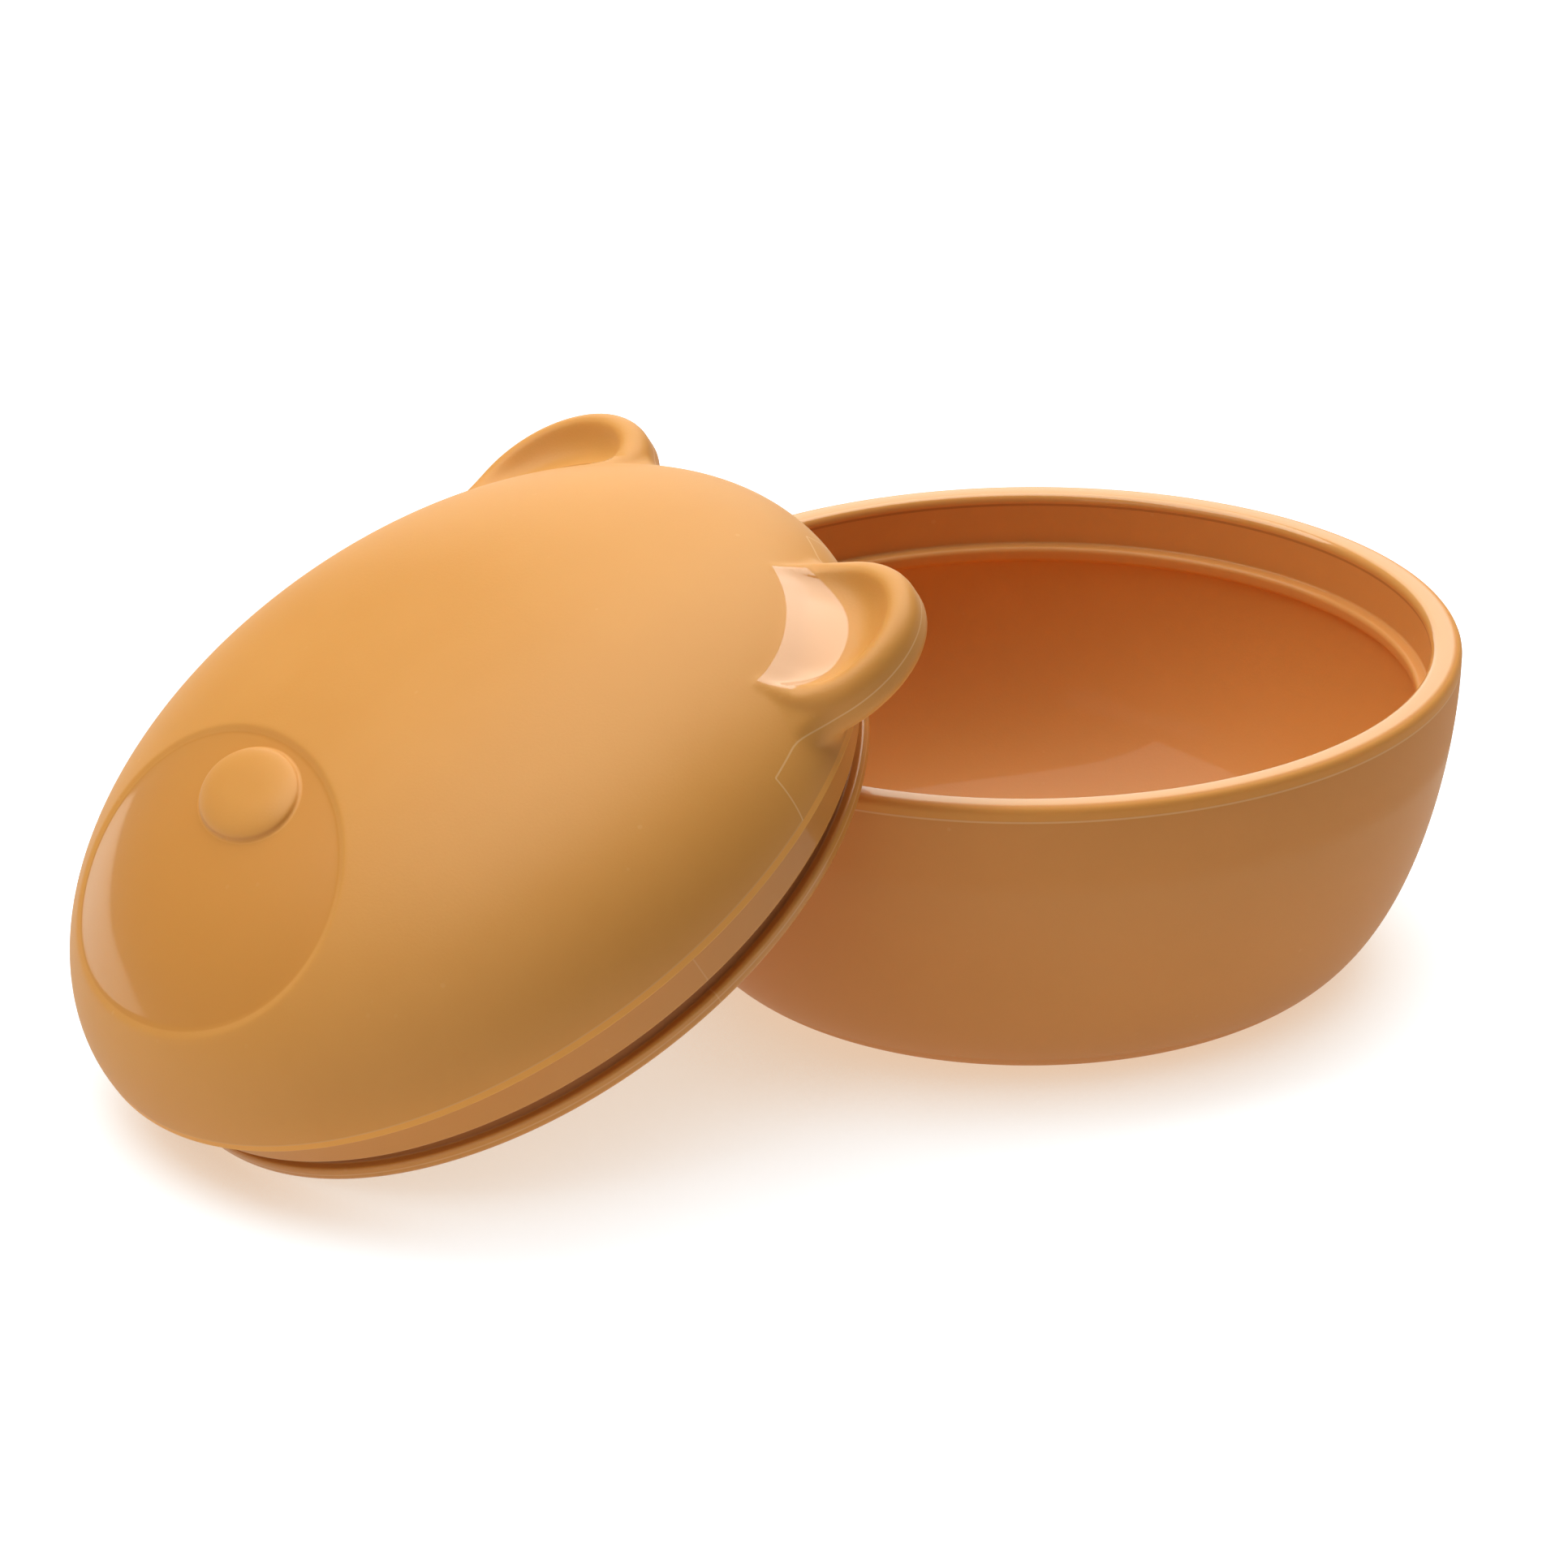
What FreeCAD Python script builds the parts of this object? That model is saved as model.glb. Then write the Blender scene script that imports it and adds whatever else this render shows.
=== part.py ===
import FreeCAD, Part
import math
import os
import Sketcher

# Bear-face food container: a round bowl and the domed lid that pushes into it.
# Both are single soft mouldings. The bowl stands on its flat base at the origin, and the lid
# is shown taken off: its chin is on the table and its plug leans over the bowl's rim.
# The lid's own height zero is the underside of its plug. Millimetres, +Z up.

Vector = FreeCAD.Vector

SIZES = [
    # bowl, outside
    ("rim_radius", 59.0),
    ("bowl_height", 46.0),
    ("rim_flare", 22.1),
    ("heel_pull", 15.2),
    ("wall_pull", 15.0),
    # bowl, rim and snap ridge
    ("rim_width", 4.2),
    ("rim_round", 1.2),
    ("landing_depth", 7.4),
    ("ridge_reach", 1.9),
    ("ridge_thickness", 2.2),
    ("ridge_round", 0.7),
    ("seat_step", 0.9),
    ("seat_depth", 3.0),
    # bowl, inside
    ("floor_thickness", 4.0),
    ("floor_inset", 5.9),
    ("inner_heel_pull", 14.0),
    ("inner_wall_pull", 13.0),
    # lid, plug that pushes into the bowl
    ("neck_clearance", 0.3),
    ("groove_clearance", 0.2),
    ("bead_bite", 0.6),
    ("bead_thickness", 2.2),
    ("bead_round", 0.8),
    ("plug_wall", 2.4),
    # lid, skirt and dome
    ("skirt_drop", 1.2),
    ("dome_height", 25.4),
    ("crown_inset", 11.5),
    ("shoulder_pull", 9.3),
    ("dome_wall", 3.0),
    ("hollow_crown_inset", 10.2),
    ("hollow_shoulder_pull", 9.0),
    # ears
    ("ear_angle", 39.8),
    ("ear_inset", 3.6),
    ("ear_radius", 15.0),
    ("ear_underside", 1.3),
    ("ear_heel_round", 2.6),
    ("ear_crest", 8.3),
    ("ear_rim_roll", 1.7),
    ("dish_depth", 2.6),
    ("dish_run", 6.0),
    ("ear_blend", 2.0),
    ("crest_blend", 2.6),
    ("dish_blend", 4.5),
    # muzzle and nose
    ("chin_margin", 6.0),
    ("muzzle_half_width", 30.4),
    ("muzzle_half_height", 19.8),
    ("muzzle_depth", 0.5),
    ("muzzle_round", 0.2),
    ("brow_margin", 1.9),
    ("nose_half_width", 10.8),
    ("nose_half_height", 6.5),
    ("nose_rise", 1.4),
    ("nose_round", 0.9),
    # how the lid leans on the bowl
    ("lean_angle", 31.1),
    ("face_turn", 2.5),
    ("lean_gap", 0.35),
]

doc = FreeCAD.newDocument("food_container")
sheet = doc.addObject("Spreadsheet::Sheet", "dims")
for row, (alias, value) in enumerate(SIZES, start=1):
    sheet.set("A%d" % row, alias)
    sheet.set("B%d" % row, str(value))
    sheet.setAlias("B%d" % row, alias)
doc.recompute()

# Sizes that follow from the sheet, as expressions on its cells
BASE_RADIUS = "(dims.rim_radius - dims.rim_flare)"
FLOOR_RADIUS = "(%s - dims.floor_inset)" % BASE_RADIUS
LIP_RADIUS = "(dims.rim_radius - dims.rim_width)"
RIDGE_RADIUS = "(%s - dims.ridge_reach)" % LIP_RADIUS
SEAT_RADIUS = "(%s - dims.seat_step)" % LIP_RADIUS
RIDGE_TOP = "(dims.bowl_height - dims.landing_depth)"
RIDGE_FOOT = "(%s - dims.ridge_thickness)" % RIDGE_TOP
SEAT_FOOT = "(%s - dims.seat_depth)" % RIDGE_FOOT
NECK_RADIUS = "(%s - dims.neck_clearance)" % LIP_RADIUS
GROOVE_RADIUS = "(%s - dims.neck_clearance)" % RIDGE_RADIUS
BEAD_RADIUS = "(%s + dims.bead_bite)" % RIDGE_RADIUS
HOLLOW_RADIUS = "(%s - dims.plug_wall)" % GROOVE_RADIUS
GROOVE_TOP = "(dims.bead_thickness + dims.ridge_thickness + 2 * dims.groove_clearance)"
SKIRT_FOOT = "(%s + dims.landing_depth - dims.groove_clearance)" % GROOVE_TOP
PARTING = "(%s + dims.skirt_drop)" % SKIRT_FOOT
CROWN = "(%s + dims.dome_height)" % PARTING
EAR_UNDERSIDE = "(%s + dims.ear_underside)" % PARTING
EAR_HEEL = "(%s + dims.ear_heel_round)" % EAR_UNDERSIDE
EAR_CREST = "(%s + dims.ear_crest)" % PARTING
EAR_FLOOR = "(%s - dims.dish_depth)" % EAR_CREST
CREST_RADIUS = "(dims.ear_radius - dims.ear_rim_roll)"
EAR_OFFSET = "(dims.rim_radius - dims.ear_inset)"
MUZZLE_DROP = "(dims.rim_radius - dims.chin_margin - dims.muzzle_half_height)"
MUZZLE_TOP = "(%s - dims.muzzle_half_height)" % MUZZLE_DROP
NOSE_DROP = "(%s + dims.brow_margin + dims.nose_half_height)" % MUZZLE_TOP
# Share of a quarter circle's radius that its curve handles take
QUARTER = 0.5523
# Distance under which two points count as one
NEAR = 1e-3
# Points looked at along an edge to see whether it lies on an oval
OVAL_SAMPLES = 5
# Small moves that bring the lid up to the rim
LEAN_MOVES = 12


def size(expression):
    """The value of an expression on the sheet's cells."""
    value = sheet.evalExpression(expression)
    return float(getattr(value, "Value", value))


def origin_plane(body, role):
    """One of a body's own three origin planes."""
    return next(plane for plane in body.Origin.OriginFeatures if plane.Role == role)


def pin(sketch, geometry, position, place):
    """Hold a point of a sketch at a place given by two expressions."""
    axis_of_zero = {"DistanceX": -2, "DistanceY": -1}
    for kind, expression in zip(("DistanceX", "DistanceY"), place):
        if expression == "0":
            axis = axis_of_zero[kind]
            sketch.addConstraint(Sketcher.Constraint("PointOnObject", geometry, position, axis))
            continue
        held = Sketcher.Constraint(kind, -1, 1, geometry, position, size(expression))
        index = sketch.addConstraint(held)
        sketch.setExpression("Constraints[%d]" % index, expression)


def outline(body, name, corners):
    """Closed sketch on the body's XZ plane.

    Each corner is (x, z) and joins the next one by a straight line, or by a curve where it
    is (x, z, first handle, second handle). All of them are expressions on the sheet."""
    sketch = body.newObject("Sketcher::SketchObject", name)
    sketch.AttachmentSupport = (origin_plane(body, "XZ_Plane"), [""])
    sketch.MapMode = "FlatFace"
    lines = []
    for corner, following in zip(corners, corners[1:] + corners[:1]):
        places = [corner[:2], *corner[2:], following[:2]]
        points = [Vector(size(x), size(z), 0) for x, z in places]
        if len(points) == 2:
            lines.append(sketch.addGeometry(Part.LineSegment(*points), False))
        else:
            curve = Part.BezierCurve()
            curve.setPoles(points)
            lines.append(sketch.addGeometry(curve.toBSpline(), False))
    for line, following in zip(lines, lines[1:] + lines[:1]):
        sketch.addConstraint(Sketcher.Constraint("Coincident", line, 2, following, 1))
    for line, corner in zip(lines, corners):
        pin(sketch, line, 1, corner[:2])
    for line, corner in zip(lines, corners):
        if len(corner) > 2:
            first_pole = sketch.GeometryCount
            sketch.exposeInternalGeometry(line)
            for step, handle in enumerate(corner[2:], start=1):
                pin(sketch, first_pole + step, 3, handle)
    return sketch


def turned_body(name, corners):
    """A body that is one outline turned all the way round the vertical line."""
    body = doc.addObject("PartDesign::Body", name)
    sketch = outline(body, name + "_outline", corners)
    turn = body.newObject("PartDesign::Revolution", name + "_turn")
    turn.Profile = sketch
    turn.ReferenceAxis = (sketch, ["V_Axis"])
    turn.Angle = 360
    doc.recompute()
    return body


def round_rings(body, name, rings, radius):
    """Round the circular edges of a body that lie at the given (radius, height) pairs."""
    base = body.Tip
    places = [(size(ring_radius), size(height)) for ring_radius, height in rings]
    found = []
    for number, edge in enumerate(base.Shape.Edges, start=1):
        point = edge.valueAt(edge.FirstParameter)
        here = (math.hypot(point.x, point.y), point.z)
        if edge.isClosed() and any(math.dist(here, place) < NEAR for place in places):
            found.append("Edge%d" % number)
    rounding = body.newObject("PartDesign::Fillet", name)
    rounding.Base = (base, found)
    rounding.setExpression("Radius", radius)
    doc.recompute()


def boolean(kind, name, base, tool):
    """One body cut by, joined to or shared with another."""
    result = doc.addObject("Part::" + kind, name)
    result.Base = base
    result.Tool = tool
    doc.recompute()
    return result


def make_bowl():
    """Bowl with its flat rim, landing wall, snap ridge and the seat for the lid's bead."""
    bowl = turned_body(
        "bowl",
        [
            ("0", "0"),
            (
                BASE_RADIUS,
                "0",
                (BASE_RADIUS + " + dims.heel_pull", "0"),
                ("dims.rim_radius", "dims.bowl_height - dims.wall_pull"),
            ),
            ("dims.rim_radius", "dims.bowl_height"),
            (LIP_RADIUS, "dims.bowl_height"),
            (LIP_RADIUS, RIDGE_TOP),
            (RIDGE_RADIUS, RIDGE_TOP),
            (RIDGE_RADIUS, RIDGE_FOOT),
            (SEAT_RADIUS, RIDGE_FOOT),
            (
                SEAT_RADIUS,
                SEAT_FOOT,
                (SEAT_RADIUS, SEAT_FOOT + " - dims.inner_wall_pull"),
                (FLOOR_RADIUS + " + dims.inner_heel_pull", "dims.floor_thickness"),
            ),
            (FLOOR_RADIUS, "dims.floor_thickness"),
            ("0", "dims.floor_thickness"),
        ],
    )
    rim = [("dims.rim_radius", "dims.bowl_height"), (LIP_RADIUS, "dims.bowl_height")]
    round_rings(bowl, "rim_rounding", rim, "dims.rim_round")
    ridge = [(RIDGE_RADIUS, RIDGE_TOP), (RIDGE_RADIUS, RIDGE_FOOT)]
    round_rings(bowl, "ridge_rounding", ridge, "dims.ridge_round")
    return bowl


def dome_outline(name, below, offset):
    """A solid dome, moved outward and upward by an offset, on the corners given below it."""
    radius = "(dims.rim_radius + %s)" % offset
    crown = "(%s + %s)" % (CROWN, offset)
    crown_handle = ("dims.rim_radius - dims.crown_inset", crown)
    shoulder_handle = (radius, PARTING + " + dims.shoulder_pull")
    curve = [("0", crown, crown_handle, shoulder_handle), (radius, PARTING)]
    return turned_body(name, curve + below)


def make_lid_form():
    """The lid's solid form without ears: dome, skirt edge, neck, groove and snap bead."""
    form = dome_outline(
        "dome",
        [
            ("dims.rim_radius", SKIRT_FOOT),
            (NECK_RADIUS, SKIRT_FOOT),
            (NECK_RADIUS, GROOVE_TOP),
            (GROOVE_RADIUS, GROOVE_TOP),
            (GROOVE_RADIUS, "dims.bead_thickness"),
            (BEAD_RADIUS, "dims.bead_thickness"),
            (BEAD_RADIUS, "0"),
            ("0", "0"),
        ],
        "0",
    )
    bead = [(BEAD_RADIUS, "dims.bead_thickness"), (BEAD_RADIUS, "0")]
    round_rings(form, "bead_rounding", bead, "dims.bead_round")
    return form


def quarter(start, end, corner):
    """Outline corner that starts a quarter round from start to end, bulging to corner."""
    handles = []
    for near in (start, end):
        pairs = zip(near, corner)
        handles.append(tuple("(%s + (%s - %s) * %s)" % (n, c, n, QUARTER) for n, c in pairs))
    return (*start, *handles)


def make_ears():
    """Two dished ears, turned about their own upright axes, one the mirror of the other."""
    heel_start = ("(dims.ear_radius - dims.ear_heel_round)", EAR_UNDERSIDE)
    heel_end = ("dims.ear_radius", EAR_HEEL)
    roll_start = ("dims.ear_radius", "(%s - dims.ear_rim_roll)" % EAR_CREST)
    roll_end = (CREST_RADIUS, EAR_CREST)
    mid_slope = CREST_RADIUS + " - dims.dish_run / 2"
    ear = turned_body(
        "ear",
        [
            ("0", EAR_UNDERSIDE),
            quarter(heel_start, heel_end, ("dims.ear_radius", EAR_UNDERSIDE)),
            heel_end,
            quarter(roll_start, roll_end, ("dims.ear_radius", EAR_CREST)),
            (*roll_end, (mid_slope, EAR_CREST), (mid_slope, EAR_FLOOR)),
            (CREST_RADIUS + " - dims.dish_run", EAR_FLOOR),
            ("0", EAR_FLOOR),
        ],
    )
    ear.setExpression("Placement.Base.x", EAR_OFFSET + " * sin(dims.ear_angle)")
    ear.setExpression("Placement.Base.y", EAR_OFFSET + " * cos(dims.ear_angle)")
    doc.recompute()
    other_ear = doc.addObject("Part::Mirroring", "other_ear")
    other_ear.Source = ear
    other_ear.Normal = Vector(1, 0, 0)
    doc.recompute()
    return ear, other_ear


def ear_blend_radius(point, ear_axis):
    """Blend radius at a point of an ear's joint: wide in the dish, narrow round the rest."""
    reach = math.hypot(abs(point.x) - ear_axis.x, point.y - ear_axis.y)
    if point.z < size(EAR_HEEL) + NEAR or reach > size(CREST_RADIUS) + NEAR:
        return size("dims.ear_blend")
    if reach > size(CREST_RADIUS) - NEAR:
        return size("dims.crest_blend")
    return size("dims.dish_blend")


def blend_ears(form, ear):
    """Roll both ears into the dome along the edges where they meet it."""
    dome = max(form.Shape.Faces, key=lambda face: face.Area)
    meeting = [edge for edge in dome.Edges if not edge.isSeam(dome)]
    blends = []
    for number, edge in enumerate(form.Shape.Edges, start=1):
        low = edge.BoundBox.ZMin < size(PARTING) + NEAR
        if low or edge.Degenerated or not any(edge.isSame(other) for other in meeting):
            continue
        ends = (edge.firstVertex(True).Point, edge.lastVertex(True).Point)
        radii = [ear_blend_radius(point, ear.Placement.Base) for point in ends]
        blends.append((number, *radii))
    blended = doc.addObject("Part::Fillet", "ear_blends")
    blended.Base = form
    blended.Edges = blends
    doc.recompute()
    return blended


def oval_block(name, drop, half_width, half_height):
    """Upright block over an oval that lies towards the chin, from the parting line upward."""
    oval = doc.addObject("Part::Ellipse", name + "_oval")
    oval.setExpression("MajorRadius", half_width)
    oval.setExpression("MinorRadius", half_height)
    oval.setExpression("Placement.Base.y", "-" + drop)
    oval.setExpression("Placement.Base.z", PARTING)
    block = doc.addObject("Part::Extrusion", name + "_block")
    block.Base = oval
    block.DirMode = "Custom"
    block.Dir = Vector(0, 0, 1)
    block.setExpression("LengthFwd", "2 * dims.dome_height")
    block.Solid = True
    doc.recompute()
    return block


def oval_edges(shape, skin, drop, half_width, half_height):
    """Numbers of the edges on an oval's wall that also lie on a curved skin."""
    middle, across, along = size(drop), size(half_width), size(half_height)
    found = []
    for number, edge in enumerate(shape.Edges, start=1):
        if edge.Degenerated:
            continue
        points = edge.discretize(OVAL_SAMPLES)
        shares = [math.hypot(point.x / across, (point.y + middle) / along) for point in points]
        if max(abs(share - 1) for share in shares) > NEAR:
            continue
        if max(skin.distToShape(Part.Vertex(point))[0] for point in points) < NEAR:
            found.append(number)
    return found


def make_face(form):
    """Press the muzzle into the dome, raise the nose on it and soften both outlines."""
    muzzle = (MUZZLE_DROP, "dims.muzzle_half_width", "dims.muzzle_half_height")
    nose = (NOSE_DROP, "dims.nose_half_width", "dims.nose_half_height")
    ground = [("0", PARTING)]
    sunk = dome_outline("sunk_dome", ground, "-dims.muzzle_depth")
    raised = dome_outline("raised_dome", ground, "dims.nose_rise")
    press = boolean("Cut", "muzzle_press", oval_block("muzzle", *muzzle), sunk)
    pressed = boolean("Cut", "muzzle_pressed", form, press)
    nose_pad = boolean("Common", "nose_pad", oval_block("nose", *nose), raised)
    face = boolean("Fuse", "face", pressed, nose_pad)
    dome_skin = max(form.Shape.Faces, key=lambda skin: skin.Area)
    raised_skin = max(raised.Shape.Faces, key=lambda skin: skin.Area)
    softened = doc.addObject("Part::Fillet", "face_softened")
    softened.Base = face
    rounds = []
    for skin, oval, radius in (
        (dome_skin, muzzle, size("dims.muzzle_round")),
        (raised_skin, nose, size("dims.nose_round")),
    ):
        for number in oval_edges(face.Shape, skin, *oval):
            rounds.append((number, radius, radius))
    softened.Edges = rounds
    doc.recompute()
    return softened


def make_lid():
    """The whole lid: form, ears, face, and the hollow inside it."""
    form = make_lid_form()
    ear, other_ear = make_ears()
    one_eared = boolean("Fuse", "one_eared", form, ear)
    eared = boolean("Fuse", "eared", one_eared, other_ear)
    face = make_face(blend_ears(eared, ear))
    inner_crown = "(%s - dims.dome_wall)" % CROWN
    hollow = turned_body(
        "hollow",
        [
            ("0", "0"),
            (HOLLOW_RADIUS, "0"),
            (
                HOLLOW_RADIUS,
                PARTING,
                (HOLLOW_RADIUS, PARTING + " + dims.hollow_shoulder_pull"),
                (HOLLOW_RADIUS + " - dims.hollow_crown_inset", inner_crown),
            ),
            ("0", inner_crown),
        ],
    )
    return boolean("Cut", "lid", face, hollow)


def lean(lid, bowl):
    """Set the lid beside the bowl, chin on the table, and slide it up to lean over the rim."""
    tilt = math.radians(size("dims.lean_angle"))
    bead_round = size("dims.bead_round")
    ring_radius = size(BEAD_RADIUS) - bead_round
    height = ring_radius * math.sin(tilt) + bead_round * (1 - math.cos(tilt))
    tilt_back = FreeCAD.Rotation(Vector(1, 0, 0), size("dims.lean_angle"))
    face_turn = FreeCAD.Rotation(Vector(0, 0, 1), size("dims.face_turn"))
    well_apart = size("2 * dims.rim_radius + " + CROWN)

    def excess_at(y):
        lid.Placement = FreeCAD.Placement(Vector(0, y, height), tilt_back * face_turn)
        return lid.Shape.distToShape(bowl.Shape)[0] - size("dims.lean_gap")

    before, excess_before = -well_apart, excess_at(-well_apart)
    here = before + excess_before
    for _ in range(LEAN_MOVES):
        excess = excess_at(here)
        if abs(excess) < NEAR:
            break
        slope = (excess - excess_before) / (here - before)
        before, excess_before = here, excess
        here = here - excess / slope


bowl = make_bowl()
lid = make_lid()
lean(lid, bowl)
doc.recompute()

for item in doc.Objects:
    if "Invalid" in item.State or "Error" in item.State:
        raise RuntimeError("%s did not build" % item.Label)
os.makedirs("parts", exist_ok=True)
for part in (bowl, lid):
    shape = part.Shape
    if shape.isNull() or not shape.isValid() or len(shape.Solids) != 1:
        raise RuntimeError("%s is not one sound solid" % part.Label)
    shape.exportStep("parts/%s.step" % part.Label)
    print(part.Label, "volume", round(shape.Volume), "mm3")
print("lid stands", round(lid.Shape.distToShape(bowl.Shape)[0], 3), "mm from the bowl")
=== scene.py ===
# %% [markdown]
# A soft food container: a round bowl and the bear-face lid that pushes into it. The lid is off
# and leans on the bowl's rim with its chin on the table. Both are single silicone mouldings, so
# the lesson is about smooth forms: lathe work, a welded blend, and finishes that change from
# matte to glossy on one skin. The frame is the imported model, in metres, and stays as it is. The
# outlines below are in millimetres and become metres when a mesh is made from them.

# %% Load the fixed frame
import math

import bpy
import numpy as np
from mathutils import Matrix, Vector


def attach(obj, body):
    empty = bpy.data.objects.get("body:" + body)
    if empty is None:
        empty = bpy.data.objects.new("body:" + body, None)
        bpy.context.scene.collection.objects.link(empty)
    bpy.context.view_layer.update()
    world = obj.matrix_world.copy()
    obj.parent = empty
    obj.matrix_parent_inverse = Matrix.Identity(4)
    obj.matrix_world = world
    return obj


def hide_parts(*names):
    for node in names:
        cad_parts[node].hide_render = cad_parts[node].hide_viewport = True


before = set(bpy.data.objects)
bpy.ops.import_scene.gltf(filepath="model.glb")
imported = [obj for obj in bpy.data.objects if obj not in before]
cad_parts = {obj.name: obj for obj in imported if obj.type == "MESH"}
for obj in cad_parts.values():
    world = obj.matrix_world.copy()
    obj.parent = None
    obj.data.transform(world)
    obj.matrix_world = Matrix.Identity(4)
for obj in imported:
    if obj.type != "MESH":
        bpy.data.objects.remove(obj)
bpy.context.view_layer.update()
MM = 0.001

# %% [markdown]
# The camera comes first, because every later choice is judged through it. A long lens far away
# gives the flat, catalogue-like perspective of a product shot. Its place could be written with
# three angles; here a direction back from the scene and a small roll are easier to read.

# %% Camera
CAMERA_PLACE = Vector((0.8460, -0.4769, 0.4374))
CAMERA_BACK = Vector((0.8170, -0.4238, 0.3911))
CAMERA_ROLL = math.radians(-1.0)
CAMERA_LENS = 175.9
SENSOR_WIDTH = 36.0
VIEW_END = 20.0


def aim(place, back, roll):
    """Matrix of a camera at a place that looks against the back direction."""
    back = back.normalized()
    right = Vector((0, 0, 1)).cross(back).normalized()
    up = back.cross(right)
    turned_right = math.cos(roll) * right + math.sin(roll) * up
    turned_up = math.cos(roll) * up - math.sin(roll) * right
    axes = Matrix((turned_right, turned_up, back)).transposed()
    return Matrix.Translation(place) @ axes.to_4x4()


bpy.ops.object.select_all(action="DESELECT")
bpy.ops.object.camera_add()
camera = bpy.context.object
camera.name = "camera"
camera.matrix_world = aim(CAMERA_PLACE, CAMERA_BACK, CAMERA_ROLL)
camera.data.lens = CAMERA_LENS
camera.data.sensor_width = SENSOR_WIDTH
camera.data.clip_end = VIEW_END
bpy.context.scene.camera = camera
print("camera", tuple(round(v, 3) for v in CAMERA_PLACE), "lens", CAMERA_LENS)

# %% [markdown]
# Round mouldings start as an outline. A curve with two handles draws the long sweeps, and a
# rounded corner is a very short curve of the same kind. Outlines could be drawn by hand as curve
# objects; in code every size stays readable, and the same outline later tells a point how far it
# is from the surface.

# %% Outline helpers
QUARTER_HANDLE = 0.5523


def sweep(start, first, second, end, count):
    """Points along a curve that leaves start towards first and reaches end from second."""
    t = np.linspace(0, 1, count)[:, None]
    a, b, c, d = (np.array(point, float) for point in (start, first, second, end))
    curve = (1 - t) ** 3 * a + 3 * (1 - t) ** 2 * t * b + 3 * (1 - t) * t**2 * c + t**3 * d
    return [tuple(point) for point in curve]


def corner(before, tip, after, rounding, count=7):
    """A corner at tip, rounded off over the given length towards its two neighbours."""
    ends = []
    handles = []
    for near in (before, after):
        away = np.array(near, float) - np.array(tip, float)
        end = np.array(tip, float) + away / np.linalg.norm(away) * rounding
        ends.append(end)
        handles.append(end + (np.array(tip, float) - end) * QUARTER_HANDLE)
    return sweep(ends[0], handles[0], handles[1], ends[1], count)


def rounded(points):
    """Outline through (radius, height, rounding) corners; one without a rounding stays sharp."""
    outline = []
    for index, point in enumerate(points):
        if len(point) < 3:
            outline.append(point)
        else:
            before, after = points[index - 1][:2], points[index + 1][:2]
            outline += corner(before, point[:2], after, point[2])
    return outline


quarter = corner((0, 1), (0, 0), (1, 0), rounding=1, count=3)
print("a quarter round of 1 mm:", [tuple(np.round(point, 2)) for point in quarter])

# %% [markdown]
# A lathe in Blender is one chain of vertices and the Spin operator. A Screw modifier could do it
# too, but Spin leaves plain mesh to work on. The chain starts as a plane merged to a single
# vertex, and every step of the outline is an extrude. Spin leaves a seam and a heap of vertices
# on the axis, so doubles are merged before the normals are turned outwards.

# %% Lathe helper
SEAM_WELD = 1e-7


def lathe(name, outline, steps):
    """Spin an outline in millimetres once round the upright axis."""
    path = [Vector((radius * MM, 0, height * MM)) for radius, height in outline]
    bpy.ops.object.select_all(action="DESELECT")
    bpy.ops.mesh.primitive_plane_add(size=MM)
    piece = bpy.context.object
    piece.name = name
    bpy.ops.object.mode_set(mode="EDIT")
    bpy.ops.mesh.merge(type="CENTER")
    bpy.ops.transform.translate(value=path[0])
    for here, following in zip(path, path[1:]):
        bpy.ops.mesh.extrude_vertices_move(TRANSFORM_OT_translate={"value": following - here})
    bpy.ops.mesh.select_all(action="SELECT")
    bpy.ops.mesh.spin(steps=steps, angle=2 * math.pi, center=(0, 0, 0), axis=(0, 0, 1))
    bpy.ops.mesh.select_all(action="SELECT")
    bpy.ops.mesh.remove_doubles(threshold=SEAM_WELD)
    bpy.ops.mesh.normals_make_consistent(inside=False)
    bpy.ops.object.mode_set(mode="OBJECT")
    return piece


print("lathe ready, it merges vertices closer than", SEAM_WELD, "m")

# %% [markdown]
# The bowl is a thick soft shell: a flat base, a full heel, a wide flat rim with rounded edges,
# a plain landing wall below the lip and a small inward ridge that the lid's bead snaps under.
# A single wall thickened by a modifier would have no ridge, so the outline is drawn closed, up
# the outside and down the inside, and one spin makes the whole moulding.

# %% Bowl
RIM_RADIUS = 59.0
BOWL_HEIGHT = 46.0
BASE_RADIUS = 36.9
LIP_RADIUS = 54.8
RIDGE_RADIUS = 52.9
SEAT_RADIUS = 53.9
FLOOR_RADIUS = 31.0
FLOOR_HEIGHT = 4.0
RIDGE_TOP = BOWL_HEIGHT - 7.4
RIDGE_FOOT = RIDGE_TOP - 2.2
SEAT_FOOT = RIDGE_FOOT - 3.0
HEEL_HANDLE = 15.2
WALL_HANDLE = 31.0
SEAT_HANDLE = 13.0
FLOOR_HANDLE = 14.0
WALL_END = BOWL_HEIGHT - 3.2
RIM_START = BOWL_HEIGHT - 3.0
RIM_ROUND = 1.2
BASE_RING = 18.0
FLOOR_RING = 15.0
BOWL_STEPS = 320

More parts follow.
